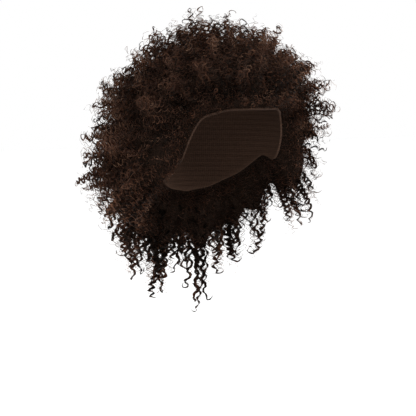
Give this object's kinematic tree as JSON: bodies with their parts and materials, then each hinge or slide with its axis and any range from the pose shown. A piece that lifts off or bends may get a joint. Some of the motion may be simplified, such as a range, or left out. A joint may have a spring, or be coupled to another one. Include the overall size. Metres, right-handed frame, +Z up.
{
  "type": "curly wig",
  "caption": "Full wig of dense, tightly curled dark brown hair that stands out all round the head and hangs at the nape, on a hollow stretch-net cap that is open for the face and neck.",
  "frame": {"origin": "inside the cap, where the crown of the head touches it", "axes": "+Z up as worn, -Y the way the face looks, +X the wearer's left"},
  "size_m": [0.3553, 0.329, 0.3912],
  "materials": {
    "cap_net": "matte knitted net",
    "hair_fibre": "curled fibre with a soft sheen"
  },
  "bodies": {
    "root": {"wig_cap": "cap_net", "hair_fringe": "hair_fibre", "hair_right": "hair_fibre", "hair_left": "hair_fibre", "hair_back": "hair_fibre", "hair_nape": "hair_fibre", "hair_crown": "hair_fibre"}
  },
  "joints": []
}
